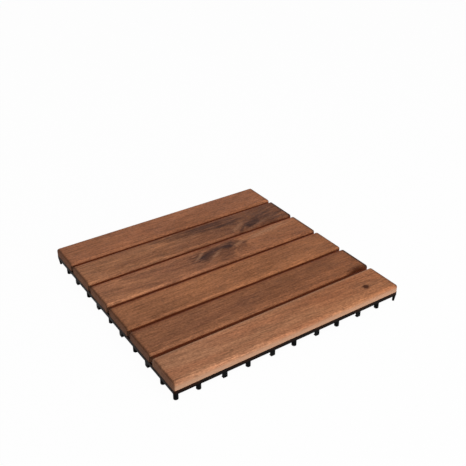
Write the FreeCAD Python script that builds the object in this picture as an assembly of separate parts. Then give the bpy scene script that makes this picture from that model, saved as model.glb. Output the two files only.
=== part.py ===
import FreeCAD, Part
import os

# Interlocking deck tile: hardwood slats screwed from below onto a moulded plastic grid.
# Lengths are in millimetres. The origin is on the ground under the middle of the tile, Z is up,
# X runs along the slats and Y across them. The -X and -Y sides carry the locking tabs, and the
# +X and +Y sides carry the loops that take the tabs of the next tiles.

# Lattice and rim of the grid
rib_pitch = 30.0
cells_per_side = 10
rib_wall = 1.8
rib_height = 4.75
rim_wall = 2.0
rim_corner_radius = 1.5
laid_joint = 2.0

# Round feet along the rim, and the slimmer raked pins at the corners beside a loop
foot_height = 8.0
foot_radius = 2.75
foot_tip_bevel = 0.8
foot_setback = 0.15
pin_root_radius = 1.9
pin_tip_radius = 1.3
pin_rake = 0.35

# Cross-shaped feet under every second crossing of the ribs
cross_root_width = 9.0
cross_tip_width = 6.5

# Locking tabs
tab_width = 5.5
tab_thickness = 2.0
tab_ground_gap = 1.5
tab_corner_radius = 0.9
barb_bite = 0.4
barb_play = 0.2
barb_lead = 0.6

# Loops that take the tabs
tab_side_play = 0.4
tab_back_play = 0.6
loop_wall = 1.8
loop_height = 4.6
loop_drop = 0.5
loop_corner_radius = 2.2
gusset_reach = 7.0

# Screw channels, which take the place of one rib near each end of the slats
channel_rib = 2
channel_width = 16.0
channel_wall = 1.8
channel_web = 2.5

# Screws
head_radius = 3.5
head_height = 2.2
shank_radius = 1.75
screw_length = 9.0
web_hole_play = 0.3
pilot_play = 0.05
pilot_spare_depth = 0.8

# Slats
slat_count = 6
slat_gap = 4.8
slat_thickness = 10.0
slat_corner_radius = 2.0
slat_edge_radius = 3.5
slat_under_bevel = 0.6

# Sizes that follow from those above
module = rib_pitch * cells_per_side
field = module - laid_joint
half_field = field / 2
rim_inside = half_field - rim_wall
grid_top = foot_height + rib_height
slat_top = grid_top + slat_thickness
slat_width = (field - (slat_count - 1) * slat_gap) / slat_count
slat_pitch = slat_width + slat_gap
foot_line = half_field - foot_setback - foot_radius
pin_line = half_field - foot_setback - pin_root_radius
channel_line = (cells_per_side / 2 - channel_rib) * rib_pitch
web_underside = grid_top - channel_web
loop_top = foot_height - loop_drop
loop_bottom = loop_top - loop_height
loop_reach = laid_joint + tab_thickness + tab_back_play
loop_inner_width = tab_width + 2 * tab_side_play
loop_outer_width = loop_inner_width + 2 * loop_wall
barb_depth = tab_back_play + barb_bite
barb_top = loop_bottom - barb_play


def box_between(x_low, x_high, y_low, y_high, z_low, z_high):
    """Block between two values on each axis."""
    corner = FreeCAD.Vector(x_low, y_low, z_low)
    return Part.makeBox(x_high - x_low, y_high - y_low, z_high - z_low, corner)


def rectangle(x_low, x_high, y_low, y_high, z):
    """Closed level outline."""
    corners = [(x_low, y_low), (x_high, y_low), (x_high, y_high), (x_low, y_high), (x_low, y_low)]
    return Part.makePolygon([FreeCAD.Vector(x, y, z) for x, y in corners])


def edges_along(shape, direction):
    """Straight edges of a shape that run along one direction."""
    found = []
    for edge in shape.Edges:
        ends = [vertex.Point for vertex in edge.Vertexes]
        if len(ends) == 2 and (ends[1] - ends[0]).cross(direction).Length < 1e-6:
            found.append(edge)
    return found


def placed(shape, x, y, z=0.0):
    """Copy of a shape, moved."""
    copy = shape.copy()
    copy.translate(FreeCAD.Vector(x, y, z))
    return copy


def spun(shape, degrees):
    """Copy of a shape, turned about the middle of the tile."""
    copy = shape.copy()
    copy.rotate(FreeCAD.Vector(0, 0, 0), FreeCAD.Vector(0, 0, 1), degrees)
    return copy


def rib_line(index):
    """Centre of a rib, counted from the low side."""
    return (index - cells_per_side / 2) * rib_pitch


def cell_span(index, channels=()):
    """Open width of a cell between its two ribs, of which some may be screw channels."""
    walls = [channel_width if rib in channels else rib_wall for rib in (index, index + 1)]
    low = -rim_inside if index == 0 else rib_line(index) + walls[0] / 2
    high = rim_inside if index == cells_per_side - 1 else rib_line(index + 1) - walls[1] / 2
    return low, high


def lattice():
    """Rim and crossing ribs as one plate of open cells."""
    outlines = [rectangle(-half_field, half_field, -half_field, half_field, foot_height)]
    channels = (channel_rib, cells_per_side - channel_rib)
    for column in range(cells_per_side):
        for row in range(cells_per_side):
            outlines.append(rectangle(*cell_span(column, channels), *cell_span(row), foot_height))
    face = Part.makeFace(outlines, "Part::FaceMakerBullseye")
    plate = face.extrude(FreeCAD.Vector(0, 0, rib_height))
    corners = []
    for edge in edges_along(plate, FreeCAD.Vector(0, 0, 1)):
        point = edge.Vertexes[0].Point
        if min(abs(point.x), abs(point.y)) > half_field - rim_wall / 2:
            corners.append(edge)
    return plate.makeFillet(rim_corner_radius, corners)


def channel_hollow(side):
    """Space under the web of one screw channel."""
    reach = channel_width / 2 - channel_wall
    middle = side * channel_line
    return box_between(middle - reach, middle + reach, -rim_inside, rim_inside, foot_height, web_underside)


def screw_places():
    """Centres of the screws, one where each slat crosses a channel."""
    return [(side * channel_line, slat_line(index)) for index in range(slat_count) for side in (-1, 1)]


def round_foot():
    """Round foot with a bevelled tip."""
    shaft = Part.makeCylinder(foot_radius, foot_height)
    rim = [edge for edge in shaft.Edges if edge.BoundBox.ZMax < foot_height / 2]
    return shaft.makeChamfer(foot_tip_bevel, rim)


def corner_pin():
    """Slim pin at the +X +Y corner, leaning in towards its tip."""
    rings = []
    for radius, line, height in ((pin_tip_radius, pin_line - pin_rake, 0), (pin_root_radius, pin_line, foot_height)):
        ring = Part.makeCircle(radius, FreeCAD.Vector(line, line, height), FreeCAD.Vector(0, 0, 1))
        rings.append(Part.Wire([ring]))
    return Part.makeLoft(rings, True, True)


def cross_foot():
    """Two crossing ribs carried down to the ground, narrowing to the tip."""
    corners = [
        (-cross_tip_width / 2, 0),
        (cross_tip_width / 2, 0),
        (cross_root_width / 2, foot_height),
        (-cross_root_width / 2, foot_height),
        (-cross_tip_width / 2, 0),
    ]
    outline = Part.makePolygon([FreeCAD.Vector(x, -rib_wall / 2, z) for x, z in corners])
    blade = Part.Face(outline).extrude(FreeCAD.Vector(0, rib_wall, 0))
    return blade.fuse(spun(blade, 90))


def feet():
    """All the feet: under the lattice, along the rim between tabs or loops, and at the corners."""
    lines = [rib_line(index) for index in range(1, cells_per_side, 2)]
    solids = [placed(cross_foot(), x, y) for x in lines for y in lines]
    for quarter in range(4):
        for line in lines:
            solids.append(spun(placed(round_foot(), line, -foot_line), 90 * quarter))
    solids.append(placed(round_foot(), -foot_line, -foot_line))
    for quarter in (-1, 0, 1):
        solids.append(spun(corner_pin(), 90 * quarter))
    return solids


def tab():
    """Locking tab on the -Y side: a plate flush with the rim, with a barb inside its tip."""
    tip = tab_ground_gap
    barb_face = tab_thickness + barb_depth
    outline = [
        (0, foot_height),
        (0, tip),
        (barb_face - barb_lead, tip),
        (barb_face, tip + barb_lead),
        (barb_face, barb_top),
        (tab_thickness, barb_top),
        (tab_thickness, foot_height),
        (0, foot_height),
    ]
    points = [FreeCAD.Vector(-tab_width / 2, depth - half_field, z) for depth, z in outline]
    section = Part.Face(Part.makePolygon(points)).extrude(FreeCAD.Vector(tab_width, 0, 0))
    front = box_between(-tab_width / 2, tab_width / 2, -half_field, barb_face - half_field, tip, foot_height)
    tip_edges = [edge for edge in edges_along(front, FreeCAD.Vector(0, 1, 0))
                 if edge.Vertexes[0].Point.z < foot_height / 2]
    return section.common(front.makeFillet(tab_corner_radius, tip_edges))


def loop():
    """Loop on the +Y side: a leg under the rim, a ring around the tab's space, and a gusset."""
    half_outer = loop_outer_width / 2
    half_inner = loop_inner_width / 2
    outer_face = half_field + loop_reach + loop_wall
    ring = box_between(-half_outer, half_outer, rim_inside, outer_face, loop_bottom, loop_top)
    far_edges = [edge for edge in edges_along(ring, FreeCAD.Vector(0, 0, 1))
                 if edge.Vertexes[0].Point.y > half_field]
    ring = ring.makeFillet(loop_corner_radius, far_edges)
    opening = box_between(-half_inner, half_inner, half_field, half_field + loop_reach, loop_bottom, loop_top)
    leg = box_between(-half_outer, half_outer, rim_inside, half_field, loop_bottom, foot_height)
    corners = [
        (rim_inside, loop_bottom),
        (rim_inside, foot_height),
        (rim_inside - gusset_reach, foot_height),
        (rim_inside, loop_bottom),
    ]
    points = [FreeCAD.Vector(-rib_wall / 2, y, z) for y, z in corners]
    gusset = Part.Face(Part.makePolygon(points)).extrude(FreeCAD.Vector(rib_wall, 0, 0))
    return ring.cut(opening).fuse([leg, gusset])


def base_grid():
    """The whole moulded grid."""
    grid = lattice().cut([channel_hollow(-1), channel_hollow(1)])
    hole = Part.makeCylinder(shank_radius + web_hole_play, channel_web, FreeCAD.Vector(0, 0, web_underside))
    grid = grid.cut([placed(hole, x, y) for x, y in screw_places()])
    added = feet()
    for index in range(2, cells_per_side, 2):
        for quarter in (0, -90):
            added.append(spun(placed(tab(), rib_line(index), 0), quarter))
            added.append(spun(placed(loop(), rib_line(index), 0), quarter))
    return grid.fuse(added).removeSplitter()


def slat_line(index):
    """Middle of a slat across the tile, the first one at the +Y side."""
    return half_field - slat_width / 2 - index * slat_pitch


def slat(index):
    """One slat with eased edges, whose top rounds meet in mitres, and blind pilot holes below."""
    middle = slat_line(index)
    blank = box_between(-half_field, half_field, middle - slat_width / 2, middle + slat_width / 2,
                        grid_top, slat_top)
    lower = [edge for edge in edges_along(blank, FreeCAD.Vector(1, 0, 0))
             if edge.Vertexes[0].Point.z < grid_top + slat_thickness / 2]
    board = blank.makeChamfer(slat_under_bevel, lower)
    board = board.makeFillet(slat_corner_radius, edges_along(board, FreeCAD.Vector(0, 0, 1)))
    for direction in (FreeCAD.Vector(1, 0, 0), FreeCAD.Vector(0, 1, 0)):
        upper = [edge for edge in edges_along(blank, direction)
                 if edge.Vertexes[0].Point.z > slat_top - slat_edge_radius / 2]
        board = board.common(blank.makeFillet(slat_edge_radius, upper))
    depth = screw_length - channel_web + pilot_spare_depth
    pilot = Part.makeCylinder(shank_radius + pilot_play, depth, FreeCAD.Vector(0, 0, grid_top))
    return board.cut([placed(pilot, x, y) for x, y in screw_places() if abs(y - middle) < slat_width / 2])


def screw():
    """Screw with its head against the underside of the web."""
    head = Part.makeCylinder(head_radius, head_height, FreeCAD.Vector(0, 0, web_underside - head_height))
    shank = Part.makeCylinder(shank_radius, screw_length, FreeCAD.Vector(0, 0, web_underside))
    return head.fuse(shank)


def slat_screws():
    """All the screws, as separate solids."""
    return Part.makeCompound([placed(screw(), x, y) for x, y in screw_places()])


def main():
    nodes = {"base_grid": base_grid(), "slat_screws": slat_screws()}
    for index in range(slat_count):
        nodes[f"slat_{index + 1}"] = slat(index)
    os.makedirs("parts", exist_ok=True)
    for name, shape in nodes.items():
        shape.exportStep(f"parts/{name}.step")
        print(name, len(shape.Solids), "solids", round(shape.Volume / 1000, 2), "cm3", shape.isValid())


main()
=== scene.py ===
"""Interlocking deck tile: six oiled hardwood slats on a moulded grid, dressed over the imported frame."""

import logging
import math
from dataclasses import dataclass, field
from enum import Enum

import bmesh
import bpy
from mathutils import Matrix, Vector


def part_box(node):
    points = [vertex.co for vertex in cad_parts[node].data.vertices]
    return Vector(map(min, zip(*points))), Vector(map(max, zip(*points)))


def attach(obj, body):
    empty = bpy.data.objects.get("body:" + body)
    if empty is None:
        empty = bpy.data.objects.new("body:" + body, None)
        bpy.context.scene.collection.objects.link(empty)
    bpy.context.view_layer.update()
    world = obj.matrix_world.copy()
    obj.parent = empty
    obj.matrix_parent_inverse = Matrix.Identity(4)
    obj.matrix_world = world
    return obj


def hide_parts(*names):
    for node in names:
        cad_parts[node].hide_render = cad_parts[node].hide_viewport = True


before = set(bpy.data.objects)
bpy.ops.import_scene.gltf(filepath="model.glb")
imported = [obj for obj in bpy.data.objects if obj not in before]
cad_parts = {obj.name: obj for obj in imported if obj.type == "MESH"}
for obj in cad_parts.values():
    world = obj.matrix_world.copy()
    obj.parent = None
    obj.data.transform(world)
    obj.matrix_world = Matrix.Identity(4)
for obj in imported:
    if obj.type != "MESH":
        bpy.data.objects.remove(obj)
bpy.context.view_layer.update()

log = logging.getLogger("deck_tile")

Socket = bpy.types.NodeSocket
Value = float | Socket
Sockets = tuple[Socket, Socket, Socket]
Point = tuple[float, float, float]
Tone = tuple[float, float, float, float]

BODY = "root"
MM = 0.001
WHITE: Tone = (1.0, 1.0, 1.0, 1.0)


class Finish(Enum):
    """Names of material slots of the record for the remade pieces; nothing here assigns them."""

    WOOD = "oiled_hardwood"
    STEEL = "screw_steel"


def tone(red: int, green: int, blue: int) -> Tone:
    """Turn a screen colour into the linear colour that shaders work in.

    Args:
        red: Red from 0 to 255.
        green: Green from 0 to 255.
        blue: Blue from 0 to 255.

    Returns:
        The linear colour with an alpha of one.
    """

    def linear(value: int) -> float:
        """Undo the screen curve of one channel."""
        part = value / 255
        return part / 12.92 if part <= 0.04045 else ((part + 0.055) / 1.055) ** 2.4

    return linear(red), linear(green), linear(blue), 1.0


class Sketch:
    """Adds nodes to one tree and joins them up."""

    def __init__(self, tree: bpy.types.NodeTree) -> None:
        """Start from a shader or geometry tree."""
        self.tree = tree

    def feed(self, socket: Socket, value: object) -> None:
        """Join a socket to another one, or set its value.

        Args:
            socket: Input to fill.
            value: Output socket to join, or a plain value.
        """
        if isinstance(value, Socket):
            self.tree.links.new(value, socket)
        else:
            socket.default_value = value

    def node(self, kind: str, inputs: dict | None = None, **settings: object) -> bpy.types.Node:
        """Add one node.

        Args:
            kind: Node type.
            inputs: Values or output sockets by input name or number.
            settings: Properties of the node.

        Returns:
            The new node.
        """
        made = self.tree.nodes.new(kind)
        for name, value in settings.items():
            setattr(made, name, value)
        for key, value in (inputs or {}).items():
            self.feed(made.inputs[key], value)
        return made

    def out(self, kind: str, inputs: dict | None = None, **settings: object) -> Socket:
        """Add one node and take its first output."""
        return self.node(kind, inputs, **settings).outputs[0]

    def math(self, operation: str, *values: Value, clamp: bool = False) -> Socket:
        """Add a sum on numbers, held between zero and one if clamp is set."""
        return self.out("ShaderNodeMath", dict(enumerate(values)), operation=operation, use_clamp=clamp)

    def vector(self, operation: str, *values: Point | Socket) -> Socket:
        """Add a sum on vectors, which gives a number for a length and a vector otherwise."""
        made = self.node("ShaderNodeVectorMath", dict(enumerate(values)), operation=operation)
        return made.outputs["Value" if operation == "LENGTH" else "Vector"]

    def scaled(self, vector: Socket, factor: Value) -> Socket:
        """Scale a vector or a colour by a number."""
        return self.out("ShaderNodeVectorMath", {0: vector, "Scale": factor}, operation="SCALE")

    def turned(self, vector: Socket, turn: Point) -> Socket:
        """Turn a vector by angles in radians."""
        return self.out("ShaderNodeMapping", {"Vector": vector, "Rotation": turn})

    def combine(self, x: Value, y: Value, z: Value) -> Socket:
        """Join three numbers into a vector."""
        return self.out("ShaderNodeCombineXYZ", {0: x, 1: y, 2: z})

    def parts(self, vector: Socket) -> Sockets:
        """Split a vector into its three numbers."""
        outputs = self.node("ShaderNodeSeparateXYZ", {0: vector}).outputs
        return outputs[0], outputs[1], outputs[2]

    def place(self) -> Socket:
        """Place of the shaded point in the frame of its piece."""
        return self.node("ShaderNodeTexCoord").outputs["Object"]

    def facing(self) -> Sockets:
        """How far the surface faces along, across and up, each from minus one to one."""
        return self.parts(self.node("ShaderNodeNewGeometry").outputs["Normal"])

    def noise(self, place: Socket, scale: float, detail: float = 2.0, roughness: float = 0.5) -> Socket:
        """Add smooth noise around one half. Detail counts its finer layers, roughness is their strength."""
        inputs = {"Vector": place, "Scale": scale, "Detail": detail, "Roughness": roughness}
        return self.out("ShaderNodeTexNoise", inputs)

    def ease(self, value: Socket, start: Value, end: float, low: float = 0.0, high: float = 1.0) -> Socket:
        """Carry a value smoothly from the range of start and end to the one of low and high."""
        inputs = {"Value": value, "From Min": start, "From Max": end, "To Min": low, "To Max": high}
        return self.out("ShaderNodeMapRange", inputs, interpolation_type="SMOOTHSTEP")

    def blend(self, share: Value, first: Tone | Socket, second: Tone | Socket) -> Socket:
        """Mix two colours, which are sockets 6 and 7 of the node, with a share of the second one."""
        return self.node("ShaderNodeMix", {0: share, 6: first, 7: second}, data_type="RGBA").outputs[2]

    def between(self, share: Value, first: Point | Socket, second: Point | Socket) -> Socket:
        """Mix two vectors, which are sockets 4 and 5 of the node, with a share of the second one."""
        return self.node("ShaderNodeMix", {0: share, 4: first, 5: second}, data_type="VECTOR").outputs[1]

    def bump(self, height: Socket, strength: float, distance: float) -> Socket:
        """Normal of a surface with a fine relief as deep as the distance."""
        return self.out("ShaderNodeBump", {"Height": height, "Strength": strength, "Distance": distance})

    def join(self, *shapes: Socket) -> Socket:
        """Join geometries into one.

        Args:
            shapes: The geometries.

        Returns:
            The joined geometry.
        """
        made = self.node("GeometryNodeJoinGeometry")
        for shape in shapes:
            self.tree.links.new(shape, made.inputs[0])
        return made.outputs[0]

    def points_in(self, curve: Socket) -> Socket:
        """Number of points of a curve."""
        made = self.node("GeometryNodeAttributeDomainSize", {"Geometry": curve}, component="CURVE")
        return made.outputs["Point Count"]

    def point_at(self, curve: Socket, index: Socket) -> Socket:
        """Place of one point of a curve."""
        inputs = {"Geometry": curve, "Value": self.out("GeometryNodeInputPosition"), "Index": index}
        return self.out("GeometryNodeSampleIndex", inputs, data_type="FLOAT_VECTOR", domain="POINT")


def new_material(name: str) -> tuple[bpy.types.Material, Sketch, bpy.types.Node]:
    """Make an empty material with one glossy shader.

    Args:
        name: Name of the material.

    Returns:
        The material, a sketch on its tree, and its shader node.
    """
    material = bpy.data.materials.new(name)
    material.use_nodes = True
    material.node_tree.nodes.clear()
    sketch = Sketch(material.node_tree)
    shader = sketch.node("ShaderNodeBsdfPrincipled")
    sketch.node("ShaderNodeOutputMaterial", {"Surface": shader.outputs[0]})
    return material, sketch, shader


@dataclass(frozen=True)
class Ramp:
    """Smooth step over a value: where it starts and ends, and what it gives there."""

    start: float
    end: float
    low: float = 0.0
    high: float = 1.0

    def of(self, sketch: Sketch, value: Socket, share: float = 1.0) -> Socket:
        """Read a value over the step. What it gives at its end is taken times the share."""
        return sketch.ease(value, self.start, self.end, self.low, self.high * share)


@dataclass(frozen=True)
class Layer:
    """Noise that is drawn out along the axes, and the step that it is read over.

    Attributes:
        fineness: How fine it is along, across and up.
        detail: How many finer layers it has.
        roughness: How strong the finer layers are.
        ramp: Step that it is read over.
        scale: How fine it is as a whole.
    """

    fineness: Point
    detail: float = 2.0
    roughness: float = 0.5
    ramp: Ramp = Ramp(0.3, 0.7)
    scale: float = 1.0

    def plain(self, sketch: Sketch, place: Socket) -> Socket:
        """The noise as it is, around one half."""
        stretched = sketch.vector("MULTIPLY", place, self.fineness)
        return sketch.noise(stretched, self.scale, self.detail, self.roughness)

    def swing(self, sketch: Sketch, place: Socket) -> Socket:
        """The noise less its middle, so that it swings round zero."""
        return sketch.math("SUBTRACT", self.plain(sketch, place), 0.5)

    def read(self, sketch: Sketch, place: Socket) -> Socket:
        """The noise read over its step."""
        return self.ramp.of(sketch, self.plain(sketch, place))


class MarkKind(Enum):
    """What a mark in a board is, which gives its colour."""

    STAIN = "stain"
    KNOT = "knot"
    PALE = "pale"


@dataclass(frozen=True)
class Mark:
    """Knot, stain or pale stroke in a board: an ellipse seen from above, in metres.

    Attributes:
        x: Its middle along the board, from the board's middle.
        y: Its middle across the board, from the board's middle.
        half_length: Half of its length.
        half_width: Half of its width.
        strength: How strong its colour is.
        turn: Degrees that it is turned by, counter-clockwise.
        ragged: How much its outline frays.
        lift: How far it pushes the growth rings aside.
        kind: What it is.
    """

    x: float
    y: float
    half_length: float
    half_width: float
    strength: float
    turn: float
    ragged: float
    lift: float = 0.0
    kind: MarkKind = MarkKind.STAIN


Spots = dict[MarkKind, Value]


@dataclass(frozen=True)
class Figure:
    """How one board was cut from its log, its colours and marks, and how strong its painted light and shade
    are.

    Attributes:
        pale: Colour of its pale clouds.
        main: Colour between them.
        dark: Colour of its streaks.
        pith_y: Where the log's pith lies across the board.
        pith_z: How high the pith lies.
        lean: How far the grain dips along the board, in radians.
        slope: How far the grain runs askew, in radians.
        seed: Where along the log it was cut.
        streaks: How strong its streaks are.
        dark_from: Place along the board to the right of which it is darker.
        dark_share: How much darker it is there.
        front_lit_share: How strong the painted light on its lower front edge is.
        back_shade: How dark the painted shade on its back edge is.
        end_shade: How dark its right end is.
        back_highlight: How strong the painted highlight along its back edge is.
        warmth: How much its tint changes from left to right.
        marks: Its knots, stains and pale strokes.
    """

    pale: Tone
    main: Tone
    dark: Tone
    pith_y: float
    pith_z: float
    lean: float
    slope: float
    seed: float
    streaks: float
    dark_from: float = 0.0
    dark_share: float = 0.0
    front_lit_share: float = 0.2
    back_shade: float = 0.8
    end_shade: float = 0.2
    back_highlight: float = 0.0
    warmth: float = 0.0
    marks: tuple[Mark, ...] = ()


@dataclass(frozen=True)
class OiledHardwood:
    """Oiled reddish-brown hardwood with growth rings, fibres, pores, knots and duller end grain."""

    figure: Figure
    gap_before: bool = True
    roughness: float = 0.5
    rough_spread: float = 0.07
    rough_ends: float = 0.25
    rough_pores: float = 0.15
    sheen_scale: float = 60.0
    gloss: float = 0.07
    refraction: float = 1.48

    # Tones, and how strong the shared ones are.
    end_tone: Tone = tone(116, 86, 72)
    end_share: float = 0.55
    mark_tone: Tone = tone(54, 30, 24)
    knot_tone: Tone = tone(60, 25, 4)
    pale_tone: Tone = tone(176, 130, 100)
    pore_tone: Tone = tone(48, 27, 19)
    pore_share: float = 0.42
    # Colour of the painted light on the lower front edge and of the painted highlight at the back.
    lit_edge_tone: Tone = tone(162, 126, 102)
    # Colours of the painted shade in the gaps.
    gap_shade_tone: Tone = tone(106, 36, 0)
    gap_end_shade_tone: Tone = tone(44, 18, 4)
    # Colour of the painted shade on the end roundings and in the gap corners.
    arris_shade_tone: Tone = tone(50, 32, 22)
    warm_left: Point = (1.05, 1.09, 1.14)
    warm_right: Point = (0.94, 0.88, 0.80)
    warm_reach: Ramp = Ramp(-130 * MM, 130 * MM)

    # Growth rings, and the streaks and bands that follow them.
    ring_spacing: float = 2.6 * MM
    ring_wander: float = 7 * MM
    wander: Layer = Layer((0.16, 1.0, 1.0), 3.0, 0.55, scale=24.0)
    late_wood: Ramp = Ramp(0.5, 0.95)
    late_share: float = 0.12
    streak: Layer = Layer((460.0, 6.0, 1.0), 4.0, 0.65, Ramp(0.42, 0.70, 0.0, 0.7))
    band: Layer = Layer((85.0, 7.0, 1.0), 2.0, 0.5, Ramp(0.48, 0.72, 0.0, 0.75))
    stroke: Ramp = Ramp(0.35, 0.62, 0.55, 1.0)
    dark_fade: float = 50 * MM

    # Layers of the grain, from broad to fine. The two sheen layers are painted sheen.
    cloud: Layer = Layer((9.0, 45.0, 45.0), 3.0, 0.55, Ramp(0.36, 0.64))
    sheen_drift: Layer = Layer((11.0, 42.0, 42.0), 2.0, 0.5, Ramp(0.33, 0.67, 0.91, 1.09))
    sheen_shimmer: Layer = Layer((70.0, 110.0, 110.0), 3.0, 0.6, Ramp(0.3, 0.7, 0.95, 1.05))
    fibre: Layer = Layer((38.0, 640.0, 640.0), 4.0, 0.65, Ramp(0.3, 0.7, 0.76, 1.24))
    speckle: Layer = Layer((330.0, 420.0, 420.0), 2.0, 0.6, Ramp(0.3, 0.7, 0.82, 1.18))
    pore: Layer = Layer((110.0, 1500.0, 1500.0), 2.0, 0.5, Ramp(0.56, 0.7))
    pore_groups: Layer = Layer((9.0, 90.0, 90.0))
    pore_grouping: float = 0.35

    # Outlines of the marks, in shares of their half sizes.
    fray: Layer = Layer((55.0, 260.0, 260.0), 4.0, 0.65)
    fray_reach: float = 4.0
    mark_edge: tuple[float, float] = (0.25, 1.25)
    lift_reach: float = 3.0

    # Relief of the planed surface.
    relief_fibre: Layer = Layer((45.0, 700.0, 700.0), 3.0, 0.6)
    relief_rings: float = 0.12
    relief_pores: float = 0.8
    relief_strength: float = 0.6
    grain_depth: float = 0.14 * MM

    # Ends of the board, by the way they face and by the place along it: duller end grain, painted shade on
    # the end roundings and in the gap corners, and darker borders.
    end_face: Ramp = Ramp(0.72, 0.96)
    end_flat: Ramp = Ramp(0.78, 0.95)
    right_round: Ramp = Ramp(0.05, 0.35, 0.0, 0.9)
    left_round: Ramp = Ramp(-0.2, -0.6, 0.0, 0.6)
    right_border: Ramp = Ramp(143 * MM, 146 * MM)
    left_border: Ramp = Ramp(-145 * MM, -147 * MM, 0.0, 0.2)
    corner_wall: Ramp = Ramp(0.5, 0.2, 0.0, 0.95)
    corner_end: Ramp = Ramp(-0.15, -0.4)

    # Edges along the gaps, by the way they face and by the place on the board: painted shade, painted light
    # and a painted highlight.
    # Painted light on the front rounding above a gap.
    front_light_reach: tuple[float, float] = (-0.72, -0.93)
    front_light_gain: float = 0.6
    gap_reach: Ramp = Ramp(-149 * MM, 0.0, 0.60, 0.26)
    gap_wall: float = 0.03
    gap_depth: float = 0.95
    gap_front: Ramp = Ramp(-0.85, -0.98)
    gap_back: Ramp = Ramp(0.05, 0.45)
    gap_strip: Ramp = Ramp(15.5 * MM, 20.5 * MM, 0.0, 0.3)
    gap_end: Ramp = Ramp(-141 * MM, -147 * MM, 0.0, 0.9)
    # Painted light on the lower front edge and a painted highlight along the back.
    lit_low: Ramp = Ramp(4 * MM, -2 * MM)
    lit_front: Ramp = Ramp(-0.6, -0.95)
    lit_strip: Ramp = Ramp(17 * MM, 21 * MM)

    def material(self, name: str, middle: Vector) -> bpy.types.Material:
        """Build the material for one board.

        Args:
            name: Name of the material.
            middle: Middle of the board.

        Returns:
            The material.
        """
        material, sketch, shader = new_material(name)
        local = sketch.vector("SUBTRACT", sketch.place(), tuple(middle))
        place = sketch.parts(local)
        facing = sketch.facing()
        grain = sketch.turned(local, (0.0, 0.0, self.figure.slope))
        grain = sketch.vector("ADD", grain, (self.figure.seed, 0.0, 0.0))
        spots, lift = self._marks(sketch, local)
        radius = sketch.math("ADD", self._radius(sketch, local), lift)
        ends = self.end_face.of(sketch, sketch.math("ABSOLUTE", facing[0]))
        pores = self._pores(sketch, grain)
        colour = self._colour(sketch, place[0], grain, radius, spots)
        colour = self._warmed(sketch, self._textured(sketch, colour, grain), place[0])
        colour = sketch.blend(spots[MarkKind.KNOT], colour, self.knot_tone)
        colour = sketch.blend(sketch.math("MULTIPLY", pores, self.pore_share), colour, self.pore_tone)
        colour = sketch.blend(sketch.math("MULTIPLY", ends, self.end_share), colour, self.end_tone)
        # Painted shade on the end roundings and in the gap corners, and darker borders at the ends.
        colour = sketch.blend(self._arris_shade_mask(sketch, place, facing), colour, self.arris_shade_tone)
        # Painted light on the front rounding above a gap.
        colour = sketch.scaled(colour, self._front_lighting(sketch, facing))
        # Painted shade on the edges that face another board.
        colour = sketch.blend(self._gap_shade_mask(sketch, place, facing), colour, self._gap_shade_colour(sketch, place))
        # Painted light on the lower front edge and a painted highlight along the back.
        colour = sketch.blend(self._lit_edge_mask(sketch, place, facing), colour, self.lit_edge_tone)
        sketch.feed(shader.inputs["Base Color"], colour)
        sketch.feed(shader.inputs["Roughness"], self._rough(sketch, local, ends, pores))
        sketch.feed(shader.inputs["Normal"], self._relief(sketch, grain, radius, pores))
        shader.inputs["IOR"].default_value = self.refraction
        shader.inputs["Specular IOR Level"].default_value = self.gloss
        return material

    def _radius(self, sketch: Sketch, local: Socket) -> Socket:
        """Distance from the pith, with a slow wander.

        Args:
            sketch: Tree of the material.
            local: Place on the board.

        Returns:
            The radius.
        """
        figure = self.figure
        log_place = sketch.turned(local, (0.0, figure.lean, figure.slope))
        log_place = sketch.vector("SUBTRACT", log_place, (-figure.seed, figure.pith_y, figure.pith_z))
        slow = self.wander.swing(sketch, log_place)
        _, across, up = sketch.parts(log_place)
        away = sketch.vector("LENGTH", sketch.combine(0.0, across, up))
        return sketch.math("ADD", away, sketch.math("MULTIPLY", slow, self.ring_wander * 2))

    def _marks(self, sketch: Sketch, local: Socket) -> tuple[Spots, Value]:
        """Masks of the knots, stains and pale strokes.

        Args:
            sketch: Tree of the material.
            local: Place on the board.

        Returns:
            How strong each kind of mark is, and how far they push the growth rings aside.
        """
        spots: Spots = {kind: 0.0 for kind in MarkKind}
        lift: Value = 0.0
        fray = self.fray.swing(sketch, local)
        for mark in self.figure.marks:
            away = sketch.vector("SUBTRACT", local, (mark.x, mark.y, 0.0))
            away = sketch.turned(away, (0.0, 0.0, -math.radians(mark.turn)))
            away = sketch.vector("MULTIPLY", away, (1 / mark.half_length, 1 / mark.half_width, 0.0))
            reach = sketch.vector("LENGTH", away)
            edge = sketch.math("ADD", reach, sketch.math("MULTIPLY", fray, mark.ragged * self.fray_reach))
            mask = sketch.ease(edge, *self.mark_edge, mark.strength, 0.0)
            spots[mark.kind] = sketch.math("MAXIMUM", spots[mark.kind], mask, clamp=True)
            if mark.lift:
                lift = sketch.math("ADD", lift, sketch.ease(reach, 0.0, self.lift_reach, mark.lift, 0.0))
        return spots, lift

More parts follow.
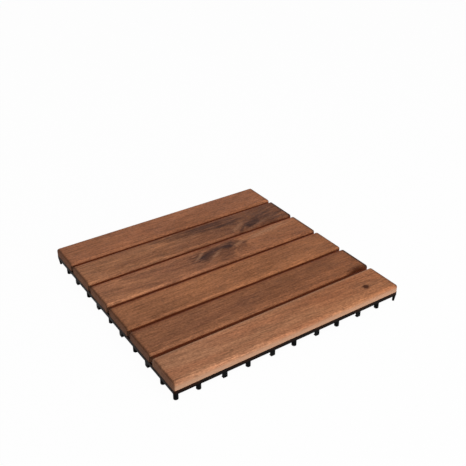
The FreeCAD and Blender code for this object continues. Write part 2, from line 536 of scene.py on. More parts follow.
    def _colour(self, sketch: Sketch, along: Socket, grain: Socket, radius: Socket, spots: Spots) -> Socket:
        """Colour of the wood with its clouds, streaks, stains and pale strokes.

        Args:
            sketch: Tree of the material.
            along: Place along the board.
            grain: Place along the grain.
            radius: Distance from the pith.
            spots: How strong each kind of mark is.

        Returns:
            The colour.
        """
        figure = self.figure
        ring_place = sketch.combine(radius, along, figure.seed)
        lines = self.streak.plain(sketch, ring_place)
        bands = self.band.plain(sketch, ring_place)
        late = sketch.math("FRACT", sketch.math("DIVIDE", radius, self.ring_spacing))
        late = sketch.math("MULTIPLY", self.late_wood.of(sketch, late), self.late_share)
        colour = sketch.blend(self.cloud.read(sketch, grain), figure.main, figure.pale)
        colour = sketch.blend(self.streak.ramp.of(sketch, lines, figure.streaks), colour, figure.dark)
        colour = sketch.blend(self.band.ramp.of(sketch, bands, figure.streaks), colour, figure.dark)
        colour = sketch.blend(late, colour, figure.dark)
        if figure.dark_share:
            darker = Ramp(figure.dark_from - self.dark_fade, figure.dark_from + self.dark_fade)
            colour = sketch.blend(darker.of(sketch, along, figure.dark_share), colour, figure.dark)
        stains = sketch.math("MULTIPLY", spots[MarkKind.STAIN], self.stroke.of(sketch, lines))
        colour = sketch.blend(stains, colour, self.mark_tone)
        return sketch.blend(spots[MarkKind.PALE], colour, self.pale_tone)

    def _textured(self, sketch: Sketch, colour: Socket, grain: Socket) -> Socket:
        """Lighten and darken a colour with the fibres of the grain, and with broader layers that are painted
        sheen.

        Args:
            sketch: Tree of the material.
            colour: Colour to change.
            grain: Place along the grain.

        Returns:
            The colour.
        """
        fine = sketch.math("MULTIPLY", self.fibre.read(sketch, grain), self.speckle.read(sketch, grain))
        # The broader layers are painted sheen.
        painted_sheen = sketch.math("MULTIPLY", self.sheen_shimmer.read(sketch, grain), self.sheen_drift.read(sketch, grain))
        return sketch.scaled(colour, sketch.math("MULTIPLY", fine, painted_sheen))

    def _warmed(self, sketch: Sketch, colour: Socket, along: Socket) -> Socket:
        """Tint a colour from the left of the board to its right."""
        tint = sketch.between(self.warm_reach.of(sketch, along), self.warm_left, self.warm_right)
        return sketch.vector("MULTIPLY", colour, sketch.between(self.figure.warmth, WHITE[:3], tint))

    def _pores(self, sketch: Sketch, grain: Socket) -> Socket:
        """Short dark pores along the grain, which show as dots on the ends.

        Args:
            sketch: Tree of the material.
            grain: Place along the grain.

        Returns:
            How open the pores are.
        """
        groups = sketch.math("MULTIPLY", self.pore_groups.swing(sketch, grain), self.pore_grouping)
        level = sketch.math("ADD", self.pore.plain(sketch, grain), groups)
        return self.pore.ramp.of(sketch, level)

    def _arris_shade_mask(self, sketch: Sketch, place: Sockets, facing: Sockets) -> Socket:
        """Mask of the painted shade on the end roundings and in the gap corners, and of the darker borders
        at the ends.

        Args:
            sketch: Tree of the material.
            place: Place on the board.
            facing: Which way the surface faces.

        Returns:
            The mask.
        """
        along, _, _ = place
        endward, _, upward = facing
        rounded = sketch.math("MAXIMUM", self.right_round.of(sketch, endward),
                              self.left_round.of(sketch, endward))
        border = sketch.math("MAXIMUM", self.right_border.of(sketch, along, self.figure.end_shade),
                             self.left_border.of(sketch, along))
        corner = sketch.math("MULTIPLY", self.corner_wall.of(sketch, upward, self.gap_before),
                             self.corner_end.of(sketch, endward))
        edges = sketch.math("MAXIMUM", corner, sketch.math("MAXIMUM", rounded, border))
        flat = self.end_flat.of(sketch, sketch.math("ABSOLUTE", endward))
        return sketch.math("SUBTRACT", edges, flat, clamp=True)

    def _front_lighting(self, sketch: Sketch, facing: Sockets) -> Socket:
        """Painted light: how much brighter the front rounding above a gap is drawn."""
        return sketch.ease(facing[1], *self.front_light_reach, 1.0, 1.0 + self.front_light_gain * self.gap_before)

    def _gap_shade_mask(self, sketch: Sketch, place: Sockets, facing: Sockets) -> Socket:
        """Mask of the painted shade on the edges that face another board.

        Args:
            sketch: Tree of the material.
            place: Place on the board.
            facing: Which way the surface faces.

        Returns:
            The mask.
        """
        along, across, _ = place
        _, backward, upward = facing
        reach = self.gap_reach.of(sketch, along)
        wall = sketch.ease(upward, reach, self.gap_wall, 0.0, self.gap_depth * self.gap_before)
        before = sketch.math("MULTIPLY", wall, self.gap_front.of(sketch, backward))
        behind = self.gap_back.of(sketch, backward, self.figure.back_shade)
        strip = self.gap_strip.of(sketch, across, self.figure.back_shade)
        return sketch.math("MAXIMUM", before, sketch.math("MAXIMUM", behind, strip))

    def _gap_shade_colour(self, sketch: Sketch, place: Sockets) -> Socket:
        """Colour of the painted shade on the edges that face another board, darker where a gap opens at the
        left.
        """
        return sketch.blend(self.gap_end.of(sketch, place[0]), self.gap_shade_tone, self.gap_end_shade_tone)

    def _lit_edge_mask(self, sketch: Sketch, place: Sockets, facing: Sockets) -> Socket:
        """Mask of the painted light on the lower front edge and of the painted highlight in a strip at the
        back.

        Args:
            sketch: Tree of the material.
            place: Place on the board.
            facing: Which way the surface faces.

        Returns:
            The mask.
        """
        _, across, rise = place
        low = self.lit_low.of(sketch, rise, self.figure.front_lit_share)
        front = sketch.math("MULTIPLY", low, self.lit_front.of(sketch, facing[1]))
        strip = self.lit_strip.of(sketch, across, self.figure.back_highlight)
        return sketch.math("MAXIMUM", strip, front)

    def _rough(self, sketch: Sketch, local: Socket, ends: Socket, pores: Socket) -> Socket:
        """Roughness of the surface, greater on the ends and in the pores.

        Args:
            sketch: Tree of the material.
            local: Place on the board.
            ends: Mask of the sawn ends.
            pores: How open the pores are.

        Returns:
            The roughness.
        """
        spread = Ramp(0.3, 0.7, self.roughness - self.rough_spread, self.roughness + self.rough_spread)
        rough = spread.of(sketch, sketch.noise(local, self.sheen_scale, detail=3.0))
        rough = sketch.math("ADD", rough, sketch.math("MULTIPLY", ends, self.rough_ends))
        return sketch.math("ADD", rough, sketch.math("MULTIPLY", pores, self.rough_pores), clamp=True)

    def _relief(self, sketch: Sketch, grain: Socket, radius: Socket, pores: Socket) -> Socket:
        """Fine relief of the planed surface: fibres, rings and open pores.

        Args:
            sketch: Tree of the material.
            grain: Place along the grain.
            radius: Distance from the pith.
            pores: How open the pores are.

        Returns:
            The normal.
        """
        rings = sketch.math("SINE", sketch.math("MULTIPLY", radius, 2 * math.pi / self.ring_spacing))
        rings = sketch.math("MULTIPLY", rings, self.relief_rings)
        height = sketch.math("ADD", self.relief_fibre.plain(sketch, grain), rings)
        height = sketch.math("SUBTRACT", height, sketch.math("MULTIPLY", pores, self.relief_pores))
        return sketch.bump(height, self.relief_strength, self.grain_depth)


@dataclass(frozen=True)
class MouldedPlastic:
    """Near-black moulded plastic with a fine spark texture and some brown dust on its upper edges."""

    base: Tone = tone(8, 9, 10)
    worn: Tone = tone(38, 18, 8)
    dust: Ramp = Ramp(7.75 * MM, 12.75 * MM, 0.0, 0.9)
    dust_patches: Ramp = Ramp(0.35, 0.65, 0.3, 1.0)
    patch_scale: float = 55.0
    scuffs: Layer = Layer((300.0, 300.0, 900.0), 3.0, 0.7, Ramp(0.62, 0.8, 0.0, 0.25))
    rough: Ramp = Ramp(0.3, 0.7, 0.36, 0.52)
    gloss: float = 0.02
    spark_scale: float = 2600.0
    spark_strength: float = 0.25
    spark_depth: float = 0.05 * MM

    def material(self, name: str) -> bpy.types.Material:
        """Build the material.

        Args:
            name: Name of the material.

        Returns:
            The material.
        """
        material, sketch, shader = new_material(name)
        place = sketch.place()
        _, _, height = sketch.parts(place)
        patches = sketch.noise(place, self.patch_scale, detail=4.0, roughness=0.6)
        dust = sketch.math("MULTIPLY", self.dust.of(sketch, height), self.dust_patches.of(sketch, patches))
        wear = sketch.math("ADD", dust, self.scuffs.read(sketch, place), clamp=True)
        relief = sketch.bump(sketch.noise(place, self.spark_scale), self.spark_strength, self.spark_depth)
        sketch.feed(shader.inputs["Base Color"], sketch.blend(wear, self.base, self.worn))
        sketch.feed(shader.inputs["Roughness"], self.rough.of(sketch, patches))
        sketch.feed(shader.inputs["Normal"], relief)
        shader.inputs["Specular IOR Level"].default_value = self.gloss
        return material


@dataclass(frozen=True)
class PlatedSteel:
    """Bright plated steel of the screws, with faint turning marks."""

    base: Tone = tone(176, 174, 168)
    stained: Tone = tone(128, 122, 110)
    stain: Ramp = Ramp(0.42, 0.7)
    stain_scale: float = 240.0
    turning: Layer = Layer((900.0, 900.0, 5000.0), 2.0, 0.5, Ramp(0.3, 0.7, 0.22, 0.42))
    turning_strength: float = 0.3
    turning_depth: float = 0.03 * MM

    def material(self, name: str) -> bpy.types.Material:
        """Build the material.

        Args:
            name: Name of the material.

        Returns:
            The material.
        """
        material, sketch, shader = new_material(name)
        place = sketch.place()
        clouds = sketch.noise(place, self.stain_scale, detail=3.0, roughness=0.6)
        stain = self.stain.of(sketch, clouds)
        marks = self.turning.plain(sketch, place)
        relief = sketch.bump(marks, self.turning_strength, self.turning_depth)
        sketch.feed(shader.inputs["Base Color"], sketch.blend(stain, self.base, self.stained))
        sketch.feed(shader.inputs["Roughness"], self.turning.ramp.of(sketch, marks))
        sketch.feed(shader.inputs["Normal"], relief)
        shader.inputs["Metallic"].default_value = 1.0
        return material


class Former:
    """Runs one Geometry Nodes tree and keeps its result as a plain mesh."""

    def __init__(self, name: str) -> None:
        """Start an empty tree with one geometry output.

        Args:
            name: Name of the tree.
        """
        self.tree = bpy.data.node_groups.new(name, "GeometryNodeTree")
        self.sketch = Sketch(self.tree)
        self.tree.interface.new_socket("Geometry", in_out="OUTPUT", socket_type="NodeSocketGeometry")
        self.values: dict[str, object] = {}
        self.group = self.sketch.node("NodeGroupInput")

    def size(self, name: str, value: object, kind: str = "NodeSocketFloat") -> Socket:
        """Add a named input and keep its value.

        Args:
            name: Name of the input.
            value: Its value.
            kind: Type of the socket.

        Returns:
            The input's socket inside the tree.
        """
        made = self.tree.interface.new_socket(name, in_out="INPUT", socket_type=kind)
        self.values[made.identifier] = value
        return next(socket for socket in self.group.outputs if socket.identifier == made.identifier)

    def count(self, name: str, value: int) -> Socket:
        """Add a named input that holds a whole number."""
        return self.size(name, value, "NodeSocketInt")

    def form(self, name: str, shape: Socket, material: bpy.types.Material) -> bpy.types.Object:
        """End the tree, run it, and turn the result into a plain piece.

        Args:
            name: Name of the piece.
            shape: Geometry to end with.
            material: Material of the piece.

        Returns:
            The piece, with no modifier left on it.
        """
        finish = self.size("Finish", material, "NodeSocketMaterial")
        whole = self.sketch.out("GeometryNodeRealizeInstances", {"Geometry": shape})
        dressed = self.sketch.out("GeometryNodeSetMaterial", {"Geometry": whole, "Material": finish})
        self.sketch.node("NodeGroupOutput", {0: dressed})
        piece = bpy.data.objects.new(name, bpy.data.meshes.new(name))
        bpy.context.scene.collection.objects.link(piece)
        modifier = piece.modifiers.new(name, "NODES")
        modifier.node_group = self.tree
        for identifier, value in self.values.items():
            modifier[identifier] = value
        view = bpy.context.evaluated_depsgraph_get()
        made = bpy.data.meshes.new_from_object(piece.evaluated_get(view), depsgraph=view)
        piece.modifiers.remove(modifier)
        made.name = name
        made.materials.clear()
        made.materials.append(material)
        for face in made.polygons:
            face.material_index = 0
        piece.data = made
        return piece


def close_up(piece: bpy.types.Object, join: float = 0.002 * MM) -> None:
    """Join the seams of a piece, turn its faces outwards and even out its shading.

    Args:
        piece: The piece.
        join: Distance under which points are one.
    """
    work = bmesh.new()
    work.from_mesh(piece.data)
    bmesh.ops.remove_doubles(work, verts=work.verts, dist=join)
    bmesh.ops.recalc_face_normals(work, faces=work.faces)
    if work.calc_volume(signed=True) < 0:
        bmesh.ops.reverse_faces(work, faces=work.faces)
    work.to_mesh(piece.data)
    work.free()
    for face in piece.data.polygons:
        face.use_smooth = True
    even = piece.modifiers.new("even_shading", "WEIGHTED_NORMAL")
    even.keep_sharp = True


@dataclass(frozen=True)
class BoardPlan:
    """Outline of a board from above, centred, with its sizes and its middle across the deck."""

    outline: Socket
    length: Socket
    width: Socket
    middle_y: Socket

    def shrink(self, sketch: Sketch, inset: Socket) -> list[Socket]:
        """Scale the outline so that it moves in on every side.

        Args:
            sketch: Tree to build in.
            inset: How far in it moves.

        Returns:
            The scales along and across.
        """
        both = sketch.math("MULTIPLY", inset, 2.0)
        return [sketch.math("SUBTRACT", 1.0, sketch.math("DIVIDE", both, size))
                for size in (self.length, self.width)]


@dataclass
class SlatDeck:
    """The six hardwood slats, the first one at the back."""

    figures: tuple[Figure, ...]
    plan_radius: float = 2.0 * MM
    edge_radius: float = 3.5 * MM
    under_round: float = 0.6 * MM
    cap_inset: float = 5.0 * MM
    plan_steps: int = 8
    edge_steps: int = 12

    def build(self) -> list[bpy.types.Object]:
        """Build and dress the slats.

        Returns:
            The pieces.
        """
        pieces = []
        for number, figure in enumerate(self.figures, start=1):
            node = f"slat_{number}"
            low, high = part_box(node)
            wood = OiledHardwood(figure, gap_before=number < len(self.figures))
            finish = wood.material(f"oiled_slat_{number}", (low + high) / 2)
            piece = self._board(f"board_{number}", low, high, finish)
            close_up(piece)
            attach(piece, BODY)
            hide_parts(node)
            pieces.append(piece)
        return pieces

    def _board(self, name: str, low: Vector, high: Vector, finish: bpy.types.Material) -> bpy.types.Object:
        """Carry a board's edge section round its plan and close it above and below.

        Args:
            name: Name of the piece.
            low: Lowest corner.
            high: Highest corner.
            finish: Material of the piece.

        Returns:
            The piece.
        """
        former = Former(name)
        sketch = former.sketch
        plan = self._plan(former, low, high)
        base = former.size("Underside Height", low.z)
        top = former.size("Top Height", high.z)
        inset = former.size("Cap Inset", self.cap_inset)
        skin = self._skin(sketch, plan, self._section(former, base, top, inset))
        caps = [self._cap(sketch, plan, inset, height) for height in (base, top)]
        return former.form(name, sketch.join(skin, *caps), finish)

    def _plan(self, former: Former, low: Vector, high: Vector) -> BoardPlan:
        """Draw the outline of a board, with eased corners.

        Args:
            former: Tree to build in.
            low: Lowest corner.
            high: Highest corner.

        Returns:
            The plan.
        """
        length = former.size("Length", high.x - low.x)
        width = former.size("Width", high.y - low.y)
        middle_y = former.size("Middle Across", (low.y + high.y) / 2)
        steps = former.count("Plan Steps", self.plan_steps)
        radius = former.size("Plan Radius", self.plan_radius)
        box = former.sketch.out("GeometryNodeCurvePrimitiveQuadrilateral",
                                {"Width": length, "Height": width}, mode="RECTANGLE")
        rounding = {"Curve": box, "Count": steps, "Radius": radius}
        outline = former.sketch.out("GeometryNodeFilletCurve", rounding, mode="POLY")
        return BoardPlan(outline, length, width, middle_y)

    def _section(self, former: Former, base: Socket, top: Socket, inset: Socket) -> Socket:
        """Section of a board's edge: how far in from the side, and how high.

        Args:
            former: Tree to build in.
            base: Height of the underside.
            top: Height of the top.
            inset: How far in the section starts and ends.

        Returns:
            The section's curve, from the top's inner end round to the underside's.
        """
        sketch = former.sketch
        steps = former.count("Edge Steps", self.edge_steps)
        edge = former.size("Edge Radius", self.edge_radius)
        under = former.size("Under Round", self.under_round)
        corners = {
            "Point 1": sketch.combine(inset, top, 0.0),
            "Point 2": sketch.combine(0.0, top, 0.0),
            "Point 3": sketch.combine(0.0, base, 0.0),
            "Point 4": sketch.combine(inset, base, 0.0),
        }
        line = sketch.out("GeometryNodeCurvePrimitiveQuadrilateral", corners, mode="POINTS")
        # Point 2 has the index 1 and gets the edge's radius, and point 3 the small one below.
        index = sketch.out("GeometryNodeInputIndex")
        upper = sketch.math("MULTIPLY", sketch.math("COMPARE", index, 1.0, 0.1), edge)
        lower = sketch.math("MULTIPLY", sketch.math("COMPARE", index, 2.0, 0.1), under)
        rounding = {"Curve": line, "Count": steps, "Radius": sketch.math("ADD", upper, lower)}
        return sketch.out("GeometryNodeFilletCurve", rounding, mode="POLY")

    def _skin(self, sketch: Sketch, plan: BoardPlan, section: Socket) -> Socket:
        """Place a grid's points on the section at each point of the plan.

        Args:
            sketch: Tree to build in.
            plan: Plan of the board.
            section: Section of its edge.

        Returns:
            The skin's mesh.
        """
        around = sketch.points_in(plan.outline)
        rows = sketch.points_in(section)
        columns = sketch.math("ADD", around, 1.0)
        grid = sketch.out("GeometryNodeMeshGrid", {"Vertices X": columns, "Vertices Y": rows})
        # Points are numbered column by column. The half keeps the division clear of rounding, and the
        # last column lies on the first one.
        index = sketch.out("GeometryNodeInputIndex")
        column = sketch.math("FLOOR", sketch.math("DIVIDE", sketch.math("ADD", index, 0.5), rows))
        row = sketch.math("SUBTRACT", index, sketch.math("MULTIPLY", column, rows))
        column = sketch.math("MODULO", column, around)
        plan_x, plan_y, _ = sketch.parts(sketch.point_at(plan.outline, column))
        inset, height, _ = sketch.parts(sketch.point_at(section, row))
        scale_x, scale_y = plan.shrink(sketch, inset)
        x = sketch.math("MULTIPLY", plan_x, scale_x)
        y = sketch.math("ADD", sketch.math("MULTIPLY", plan_y, scale_y), plan.middle_y)
        place = sketch.combine(x, y, height)
        return sketch.out("GeometryNodeSetPosition", {"Geometry": grid, "Position": place})

    def _cap(self, sketch: Sketch, plan: BoardPlan, inset: Socket, height: Socket) -> Socket:
        """Flat face inside the skin, on the top or the underside.

        Args:
            sketch: Tree to build in.
            plan: Plan of the board.
            inset: How far in the face starts.
            height: Height of the face.

        Returns:
            The face's mesh.
        """
        face = sketch.out("GeometryNodeFillCurve", {"Curve": plan.outline}, mode="NGONS")
        rise = sketch.combine(0.0, plan.middle_y, height)
        scale = sketch.combine(*plan.shrink(sketch, inset), 1.0)
        return sketch.out("GeometryNodeTransform", {"Geometry": face, "Translation": rise, "Scale": scale})


@dataclass
class MouldedGrid:
    """The plastic grid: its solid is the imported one, and gets its finish here."""

    finish: MouldedPlastic = field(default_factory=MouldedPlastic)

    def build(self) -> list[bpy.types.Object]:
        """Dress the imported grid.

        Returns:
            The piece.
        """
        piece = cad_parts["base_grid"]
        piece.data.materials.clear()
        piece.data.materials.append(self.finish.material("moulded_grid"))
        return [piece]


@dataclass
class ScrewSet:
    """The screws under the deck, in two rows, each with a thread and a cross recess.

    The sizes that need a word: thread_share is half of the thread's width as a share of its pitch,
    tip_share and neck_share are radii as shares of the core's, thread_end is how late the thread runs
    out on the point, and dome is the head's outline in shares of its radius and height.
    """

    head_radius: float = 3.5 * MM
    head_height: float = 2.2 * MM
    core_radius: float = 1.2 * MM
    neck_share: float = 1.25
    tip_share: float = 0.06
    thread_radius: float = 1.72 * MM
    thread_pitch: float = 1.4 * MM
    thread_share: float = 0.28
    thread_end: float = 1.4
    plain_length: float = 0.9 * MM
    point_length: float = 2.4 * MM
    seam: float = 0.001 * MM
    recess_reach: float = 1.9 * MM
    recess_width: float = 0.62 * MM
    recess_depth: float = 1.25 * MM
    sides: int = 24
    rows_per_turn: int = 8
    along: int = 2
    across: int = 6
    turn_seed: int = 7
    finish: PlatedSteel = field(default_factory=PlatedSteel)
    dome: tuple[tuple[float, float], ...] = (
        (0.0, 0.0), (0.62, 0.0), (0.84, 0.1), (0.95, 0.28), (1.0, 0.52), (1.0, 0.94), (0.97, 1.0))

    def build(self) -> list[bpy.types.Object]:
        """Build and dress the screws.

        Returns:
            The piece that stands for all of them.
        """
        low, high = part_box("slat_screws")
        blank = self._blank(high.z - low.z)
        former = Former("deck_screws")
        sketch = former.sketch
        source = former.size("Screw Blank", blank, "NodeSocketObject")
        span_x = former.size("Span Along", high.x - low.x - 2 * self.head_radius)
        span_y = former.size("Span Across", high.y - low.y - 2 * self.head_radius)
        along = former.count("Count Along", self.along)
        across = former.count("Count Across", self.across)
        seed = former.count("Turn Seed", self.turn_seed)
        head_level = former.size("Head Level", low.z)
        places = sketch.out("GeometryNodeMeshGrid", {"Size X": span_x, "Size Y": span_y,
                                                     "Vertices X": along, "Vertices Y": across})
        rise = sketch.combine(0.0, 0.0, head_level)
        places = sketch.out("GeometryNodeTransform", {"Geometry": places, "Translation": rise})
        body = sketch.node("GeometryNodeObjectInfo", {"Object": source}).outputs["Geometry"]
        body = sketch.out("GeometryNodeMeshBoolean", {"Mesh 1": body, "Mesh 2": self._recess(former)},
                          operation="DIFFERENCE", solver="EXACT")
        turn = sketch.node("FunctionNodeRandomValue", {2: 0.0, 3: math.pi, "Seed": seed}, data_type="FLOAT")
        spun = sketch.combine(0.0, 0.0, turn.outputs[1])
        placed = sketch.out("GeometryNodeInstanceOnPoints",
                            {"Points": places, "Instance": body, "Rotation": spun})
        piece = former.form("deck_screws", placed, self.finish.material("plated_screws"))
        bpy.data.objects.remove(blank)
        close_up(piece)
        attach(piece, BODY)
        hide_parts("slat_screws")
        return [piece]

    def _recess(self, former: Former) -> Socket:
        """Cross that the driver fits, standing in the head's face.

        Args:
            former: Tree to build in.

        Returns:
            The cross as a mesh.
        """
        sketch = former.sketch
        reach = former.size("Recess Reach", self.recess_reach)
        width = former.size("Recess Width", self.recess_width)
        depth = former.size("Recess Depth", self.recess_depth)
        tall = sketch.math("MULTIPLY", depth, 2.0)
        long = sketch.math("MULTIPLY", reach, 2.0)
        blades = [sketch.out("GeometryNodeMeshCube", {"Size": size})
                  for size in (sketch.combine(long, width, tall), sketch.combine(width, long, tall))]
        return sketch.out("GeometryNodeMeshBoolean", {"Mesh 2": sketch.join(*blades)},
                          operation="UNION", solver="EXACT")

    def _radius_at(self, height: float, turn: float, length: float) -> float:
        """Radius of the shank at a height and a share of a turn, thread and point counted.

        Args:
            height: Height above the head.
            turn: Share of a turn, from 0 to 1.
            length: Length of the shank.

        Returns:
            The radius.
        """
        phase = (height / self.thread_pitch - turn) % 1.0
        ridge = max(0.0, 1.0 - abs(phase - 0.5) / self.thread_share)
        fade = min(1.0, max(0.0, (height - self.plain_length) / self.thread_pitch))
        point = min(1.0, (length - height) / self.point_length)
        core = self.core_radius * max(self.tip_share, point)
        end = max(0.0, min(1.0, point * self.thread_end))
        return core + (self.thread_radius - self.core_radius) * ridge * fade * end

    def _blank(self, total: float) -> bpy.types.Object:
        """Turn one screw, head down and with its face at the ground of its own frame.

        Args:
            total: Whole length with the head.

        Returns:
            The screw, which isn't linked to the scene.
        """
        length = total - self.head_height
        rings = [[(share * self.head_radius, rise * self.head_height)] * self.sides
                 for share, rise in self.dome]
        rings.append([(self.core_radius * self.neck_share, self.head_height)] * self.sides)
        steps = round(length / self.thread_pitch * self.rows_per_turn)
        for step in range(1, steps + 1):
            height = length * step / steps
            rings.append([(self._radius_at(height, side / self.sides, length), self.head_height + height)
                          for side in range(self.sides)])
        work = bmesh.new()
        turns = [2 * math.pi * side / self.sides for side in range(self.sides)]
        loops = [[work.verts.new((radius * math.cos(turn), radius * math.sin(turn), rise))
                  for turn, (radius, rise) in zip(turns, ring)] for ring in rings]
        for lower, upper in zip(loops, loops[1:]):
            for side in range(self.sides):
                after = (side + 1) % self.sides
                work.faces.new((lower[side], lower[after], upper[after], upper[side]))
        work.faces.new(loops[-1])
        bmesh.ops.remove_doubles(work, verts=work.verts, dist=self.seam)
        bmesh.ops.recalc_face_normals(work, faces=work.faces)
        mesh = bpy.data.meshes.new("screw_blank")
        work.to_mesh(mesh)
        work.free()
        return bpy.data.objects.new("screw_blank", mesh)


@dataclass(frozen=True)
class Lamp:
    """Soft lamp that faces the tile. Its level is how bright it makes a white surface that faces it."""

    name: str
    azimuth: float
    height: float
    level: float
    width: float
    tall: float
    distance: float = 1.6

    def hang(self) -> None:
        """Hang the lamp. Azimuth 0 is in front of the tile and 90 is to its right."""
        light = bpy.data.lights.new(self.name, "AREA")
        light.shape = "RECTANGLE"
        light.size, light.size_y = self.width, self.tall
        light.energy = self.level * (math.pi * self.distance) ** 2
        azimuth, height = math.radians(self.azimuth), math.radians(self.height)
        toward = Vector((math.sin(azimuth) * math.cos(height), -math.cos(azimuth) * math.cos(height),
                         math.sin(height)))
        lamp = bpy.data.objects.new(self.name, light)
        lamp.location = toward * self.distance
        lamp.rotation_euler = (-toward).to_track_quat("-Z", "Y").to_euler()
        bpy.context.scene.collection.objects.link(lamp)


@dataclass
class Studio:
    """Pale floor, soft light and the camera of the photograph."""

    camera_place: Point = (-0.386615, -0.612688, 0.499184)
    camera_forward: Point = (0.474452, 0.716745, -0.511049)
    camera_right: Point = (0.832074, -0.554638, -0.005391)
    focal_share: float = 717.2 / 466
    sensor: float = 36.0
    sight_range: tuple[float, float] = (0.01, 50.0)
    world_level: float = 0.4
    floor_tone: Tone = (0.6, 0.6, 0.6, 1.0)
    floor_white: float = 0.975
    shade_half: tuple[float, float] = (0.1415, 0.134)
    shade_fade: float = 0.001
    floor_side: float = 8.0
    lamps: tuple[Lamp, ...] = (
        Lamp("overhead", azimuth=25.0, height=62.0, level=0.6, width=0.9, tall=0.9),
        Lamp("low_front", azimuth=12.0, height=8.0, level=0.76, width=1.2, tall=0.3),
    )

    def build(self) -> None:
        """Build the floor, the light and the camera."""
        bpy.context.scene.view_settings.view_transform = "Standard"
        self._floor()
        self._world()
        for lamp in self.lamps:
            lamp.hang()
        self._camera()

    def _sight(self, sketch: Sketch) -> Socket:
        """Tell rays that see a surface from rays that only light the object by it.

        Args:
            sketch: Tree to build in.

        Returns:
            One where it is seen directly, in a reflection or through something, and zero elsewhere.
        """
        path = sketch.node("ShaderNodeLightPath").outputs
        seen = sketch.math("MAXIMUM", path["Is Camera Ray"], path["Is Glossy Ray"])
        return sketch.math("MAXIMUM", seen, path["Is Transmission Ray"])

    def _floor(self) -> None:
        """Lay a pale floor that keeps a faint shadow, is dim deep under the tile and clear from below."""
        material = bpy.data.materials.new("studio_floor")
        material.use_nodes = True
        material.node_tree.nodes.clear()
        sketch = Sketch(material.node_tree)
        matt = sketch.out("ShaderNodeBsdfDiffuse", {"Color": self.floor_tone})
        white = sketch.out("ShaderNodeEmission", {"Strength": 1.0})
        x, y, _ = sketch.parts(sketch.place())
        out_x = sketch.math("SUBTRACT", sketch.math("ABSOLUTE", x), self.shade_half[0])
        out_y = sketch.math("SUBTRACT", sketch.math("ABSOLUTE", y), self.shade_half[1])
        fade = Ramp(-self.shade_fade, self.shade_fade, 0.0, self.floor_white)
        open_floor = fade.of(sketch, sketch.math("MAXIMUM", out_x, out_y))
        share = sketch.math("MULTIPLY", self._sight(sketch), open_floor)
        mixed = sketch.out("ShaderNodeMixShader", {0: share, 1: matt, 2: white})
        clear = sketch.out("ShaderNodeBsdfTransparent")
        below = sketch.node("ShaderNodeNewGeometry").outputs["Backfacing"]
        sided = sketch.out("ShaderNodeMixShader", {0: below, 1: mixed, 2: clear})
        sketch.node("ShaderNodeOutputMaterial", {"Surface": sided})
        half = self.floor_side / 2
        corners = [(-half, -half, 0), (half, -half, 0), (half, half, 0), (-half, half, 0)]
        mesh = bpy.data.meshes.new("studio_floor")
        mesh.from_pydata(corners, [], [(0, 1, 2, 3)])
        mesh.materials.append(material)
        floor = bpy.data.objects.new("studio_floor", mesh)
        bpy.context.scene.collection.objects.link(floor)

    def _world(self) -> None:
        """Light the object softly from all round, in front of white."""
        world = bpy.data.worlds.new("studio")
        world.use_nodes = True
        world.node_tree.nodes.clear()
        sketch = Sketch(world.node_tree)
        soft = sketch.out("ShaderNodeBackground", {"Color": WHITE, "Strength": self.world_level})
        white = sketch.out("ShaderNodeBackground", {"Color": WHITE, "Strength": 1.0})
        mixed = sketch.out("ShaderNodeMixShader", {0: self._sight(sketch), 1: soft, 2: white})
        sketch.node("ShaderNodeOutputWorld", {"Surface": mixed})
        bpy.context.scene.world = world

    def _camera(self) -> None:
        """Put the camera where the photograph was taken from."""
        lens = bpy.data.cameras.new("camera")
        lens.sensor_width = self.sensor
        lens.lens = self.focal_share * self.sensor
        lens.clip_start, lens.clip_end = self.sight_range
        camera = bpy.data.objects.new("camera", lens)
        forward = Vector(self.camera_forward).normalized()
        right = Vector(self.camera_right).normalized()
        up = right.cross(forward)
        turn = Matrix((right, up, -forward)).transposed().to_4x4()
        camera.matrix_world = Matrix.Translation(self.camera_place) @ turn
        bpy.context.scene.collection.objects.link(camera)
        bpy.context.scene.camera = camera


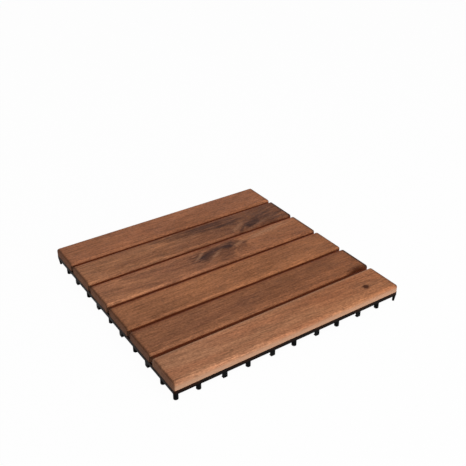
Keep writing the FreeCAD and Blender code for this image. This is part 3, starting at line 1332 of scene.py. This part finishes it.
# The boards from the back to the front. The numbers of a mark are its x, y, half length, half width,
# strength, turn, raggedness and lift.
FIGURES = (
    Figure(pale=tone(153, 98, 68), main=tone(142, 91, 62), dark=tone(109, 64, 45), pith_y=0.030,
           pith_z=-0.060, lean=0.03, slope=0.02, seed=1.3, streaks=0.35, back_shade=0.0, warmth=0.2,
           marks=(Mark(-0.1180, 0.0, 0.0420, 0.0400, 0.16, 0.0, 0.3),
                  Mark(0.0680, 0.0, 0.0400, 0.0400, 0.18, 0.0, 0.3))),
    Figure(pale=tone(158, 106, 73), main=tone(144, 94, 64), dark=tone(82, 48, 36), pith_y=-0.028,
           pith_z=-0.050, lean=-0.05, slope=-0.03, seed=4.1, streaks=0.7, dark_from=0.0, dark_share=0.45,
           back_shade=0.5, end_shade=0.95, warmth=0.5,
           marks=(Mark(0.0300, 0.0125, 0.0800, 0.0120, 0.8, -2.0, 0.6),
                  Mark(0.0603, 0.0045, 0.0270, 0.0060, 1.0, -3.7, 0.5),
                  Mark(0.0921, -0.0127, 0.0200, 0.0080, 1.2, 18.2, 0.45, 0.007),
                  Mark(0.1151, -0.0072, 0.0180, 0.0062, 0.8, 1.7, 0.5),
                  Mark(0.1080, -0.0020, 0.0420, 0.0042, 0.75, 17.0, 0.6),
                  Mark(0.1180, -0.0120, 0.0380, 0.0036, 0.7, 12.0, 0.6),
                  Mark(0.1150, 0.0080, 0.0340, 0.0030, 0.6, 15.0, 0.6),
                  Mark(0.1150, -0.0010, 0.0420, 0.0200, 0.3, 8.0, 0.6),
                  Mark(0.1044, -0.0157, 0.0291, 0.0022, 0.18, 14.7, 0.6, kind=MarkKind.PALE),
                  Mark(0.0694, -0.0109, 0.0152, 0.0034, 0.28, 30.5, 0.5, kind=MarkKind.PALE),
                  Mark(0.0752, -0.0156, 0.0178, 0.0028, 0.8, 39.1, 0.4),
                  Mark(0.1219, -0.0219, 0.0263, 0.0070, 0.55, 4.3, 0.7))),
    Figure(pale=tone(164, 109, 75), main=tone(151, 99, 68), dark=tone(90, 53, 40), pith_y=0.012,
           pith_z=-0.045, lean=0.06, slope=0.03, seed=7.7, streaks=0.6, dark_from=-0.07, dark_share=0.25,
           back_shade=1.0, end_shade=0.7, warmth=0.8,
           marks=(Mark(0.0040, 0.0030, 0.0340, 0.0150, 1.0, 6.0, 0.6, 0.004),
                  Mark(0.0240, -0.0040, 0.0340, 0.0160, 0.45, 6.0, 0.5),
                  Mark(0.0120, 0.0100, 0.0260, 0.0028, 0.9, 16.0, 0.5),
                  Mark(0.0320, 0.0080, 0.0210, 0.0095, 1.0, 12.0, 0.5, 0.006),
                  Mark(0.1000, 0.0130, 0.0460, 0.0022, 0.7, 5.5, 0.4),
                  Mark(-0.0089, 0.0066, 0.0152, 0.0026, 0.38, 35.7, 0.5, kind=MarkKind.PALE),
                  Mark(0.0087, -0.0024, 0.0148, 0.0026, 0.38, 32.9, 0.5, kind=MarkKind.PALE),
                  Mark(0.0507, 0.0065, 0.0161, 0.0034, 0.35, 18.6, 0.5, kind=MarkKind.PALE),
                  Mark(0.0975, 0.0125, 0.0407, 0.0060, 0.5, 6.4, 0.6, kind=MarkKind.PALE),
                  Mark(-0.0019, 0.0063, 0.0135, 0.0060, 0.9, 13.4, 0.6),
                  Mark(0.0082, 0.0090, 0.0374, 0.0130, 0.5, -3.6, 0.8),
                  Mark(0.0562, 0.0038, 0.0073, 0.0026, 0.8, 5.5, 0.3),
                  Mark(0.0319, 0.0051, 0.0104, 0.0055, 0.8, 12.4, 0.5))),
    Figure(pale=tone(152, 99, 66), main=tone(144, 93, 62), dark=tone(116, 72, 46), pith_y=-0.040,
           pith_z=-0.055, lean=0.02, slope=-0.02, seed=11.9, streaks=0.4, back_shade=0.9, warmth=0.35,
           marks=(Mark(-0.1150, 0.0, 0.0600, 0.0400, 0.24, 0.0, 0.3),
                  Mark(0.1280, 0.0, 0.0360, 0.0400, 0.18, 0.0, 0.3))),
    Figure(pale=tone(134, 86, 58), main=tone(126, 81, 54), dark=tone(88, 50, 35), pith_y=0.026,
           pith_z=-0.050, lean=-0.03, slope=0.03, seed=16.2, streaks=0.45, back_shade=0.7, end_shade=0.95,
           warmth=0.8,
           marks=(Mark(0.0, 0.0010, 0.0550, 0.0120, 0.25, 0.0, 0.5),
                  # Its two marks in the knot's colour are dark patches at its right front corner, by the
                  # gap, and along its right end.
                  Mark(0.1327, -0.0230, 0.0171, 0.0065, 1.2, -1.9, 0.4, kind=MarkKind.KNOT),
                  Mark(0.1480, 0.0, 0.0240, 0.0030, 0.7, 90.0, 0.2, kind=MarkKind.KNOT))),
    Figure(pale=tone(158, 109, 78), main=tone(151, 98, 68), dark=tone(114, 70, 49), pith_y=0.018,
           pith_z=-0.065, lean=0.04, slope=0.05, seed=21.4, streaks=0.4, front_lit_share=0.85, back_shade=0.0,
           end_shade=0.35, back_highlight=0.35, warmth=1.0,
           marks=(Mark(0.1153, -0.0051, 0.0240, 0.0080, 0.2, 8.0, 0.5, 0.004),
                  Mark(0.1153, -0.0051, 0.0048, 0.0046, 1.3, 10.0, 0.1, 0.003, MarkKind.KNOT))),
)


def main() -> None:
    """Build the tile's pieces and the studio, and report each piece."""
    logging.basicConfig(level=logging.INFO, format="%(name)s: %(message)s")
    pieces = MouldedGrid().build() + SlatDeck(FIGURES).build() + ScrewSet().build()
    Studio().build()
    for piece in pieces:
        log.info("%s: %d faces, finish %s", piece.name, len(piece.data.polygons), piece.active_material.name)
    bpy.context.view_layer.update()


if __name__ == "__main__":
    main()
